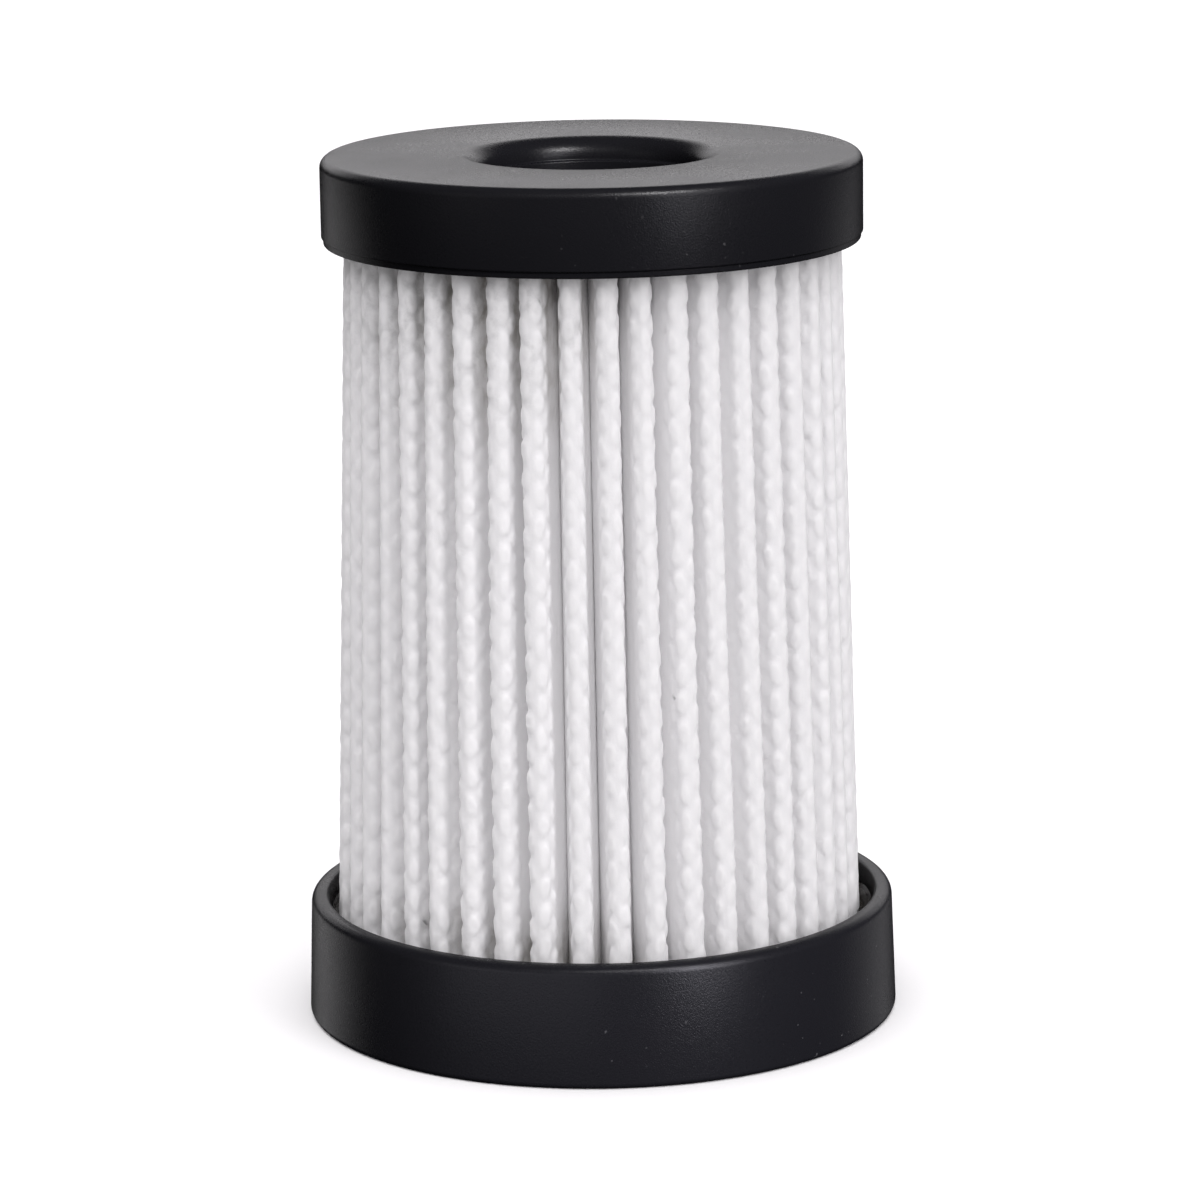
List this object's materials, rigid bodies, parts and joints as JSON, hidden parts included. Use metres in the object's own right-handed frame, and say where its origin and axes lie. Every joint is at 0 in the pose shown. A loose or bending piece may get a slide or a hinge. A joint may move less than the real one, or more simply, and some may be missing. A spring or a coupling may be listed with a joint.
{
  "type": "vacuum cleaner filter",
  "caption": "Pleated cartridge filter for a vacuum cleaner: white folded sheet round a slotted core, bonded between a black ring cap with a central air outlet and a closed black cup cap.",
  "frame": {"origin": "centre of the underside of the closed cap, on the filter's axis", "axes": "+Z along the filter's axis, up and out of the air outlet; -Y towards the viewer of the picture"},
  "size_m": [0.072, 0.072, 0.105],
  "materials": {
    "cap_plastic": "satin",
    "filter_sheet": "embossed nonwoven",
    "adhesive": "poured, glossy",
    "core_plastic": "satin"
  },
  "bodies": {
    "root": {"top_cap": "cap_plastic", "bottom_cap": "cap_plastic", "pleated_media": "filter_sheet", "top_potting": "adhesive", "bottom_potting": "adhesive", "support_core": "core_plastic"}
  },
  "joints": []
}
